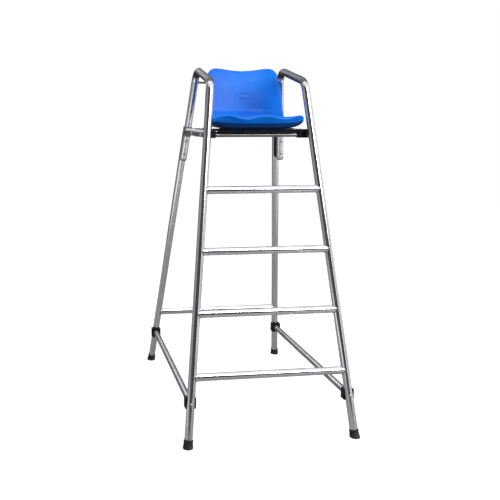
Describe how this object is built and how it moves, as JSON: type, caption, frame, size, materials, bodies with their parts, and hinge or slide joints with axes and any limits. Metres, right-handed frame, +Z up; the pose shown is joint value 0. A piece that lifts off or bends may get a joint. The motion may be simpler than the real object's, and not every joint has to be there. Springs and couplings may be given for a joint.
{
  "type": "lifeguard chair",
  "caption": "High chair on bent tube side frames with a ladder in front, splayed rear legs, armrests, rubber feet and a moulded bucket seat, for watching over a pool or beach.",
  "frame": {"origin": "on the floor, midway between the four feet", "axes": "+X to the right as seen by someone who faces the ladder, +Y from the ladder to the back, +Z up"},
  "size_m": [0.86, 1.232, 1.7638],
  "materials": {
    "polished_tube": "polished",
    "black_plastic": "moulded",
    "bolt_steel": "satin",
    "black_strap": "semi-gloss paint",
    "foot_rubber": "moulded",
    "blue_plastic": "glossy",
    "insert_brass": "machined"
  },
  "bodies": {
    "root": {"left_side_frame": "polished_tube", "right_side_frame": "polished_tube", "left_rear_leg": "polished_tube", "right_rear_leg": "polished_tube", "rung_1": "polished_tube", "rung_2": "polished_tube", "rung_3": "polished_tube", "rung_4": "polished_tube", "rear_bar": "polished_tube", "left_seat_rail": "polished_tube", "right_seat_rail": "polished_tube", "rail_spigots": "polished_tube", "front_seat_crossbar": "polished_tube", "rear_seat_crossbar": "polished_tube", "back_rod": "polished_tube", "left_brace": "polished_tube", "right_brace": "polished_tube", "front_left_bar_saddle": "black_plastic", "front_right_bar_saddle": "black_plastic", "rear_left_bar_saddle": "black_plastic", "rear_right_bar_saddle": "black_plastic", "front_left_brace_saddle": "black_plastic", "front_right_brace_saddle": "black_plastic", "rear_left_brace_saddle": "black_plastic", "rear_right_brace_saddle": "black_plastic", "left_leg_spacer": "black_plastic", "right_leg_spacer": "black_plastic", "stub_plugs": "black_plastic", "leg_plugs": "black_plastic", "strap_bolts": "bolt_steel", "leg_bolts": "bolt_steel", "leg_nuts": "bolt_steel", "brace_bolts": "bolt_steel", "brace_nuts": "bolt_steel", "crossbar_bolts": "bolt_steel", "crossbar_nuts": "bolt_steel", "rail_bolts": "bolt_steel", "seat_bolts": "bolt_steel", "front_seat_strap": "black_strap", "rear_seat_strap": "black_strap", "front_left_foot": "foot_rubber", "front_right_foot": "foot_rubber", "rear_left_foot": "foot_rubber", "rear_right_foot": "foot_rubber", "seat_shell": "blue_plastic", "seat_inserts": "insert_brass"}
  },
  "joints": []
}
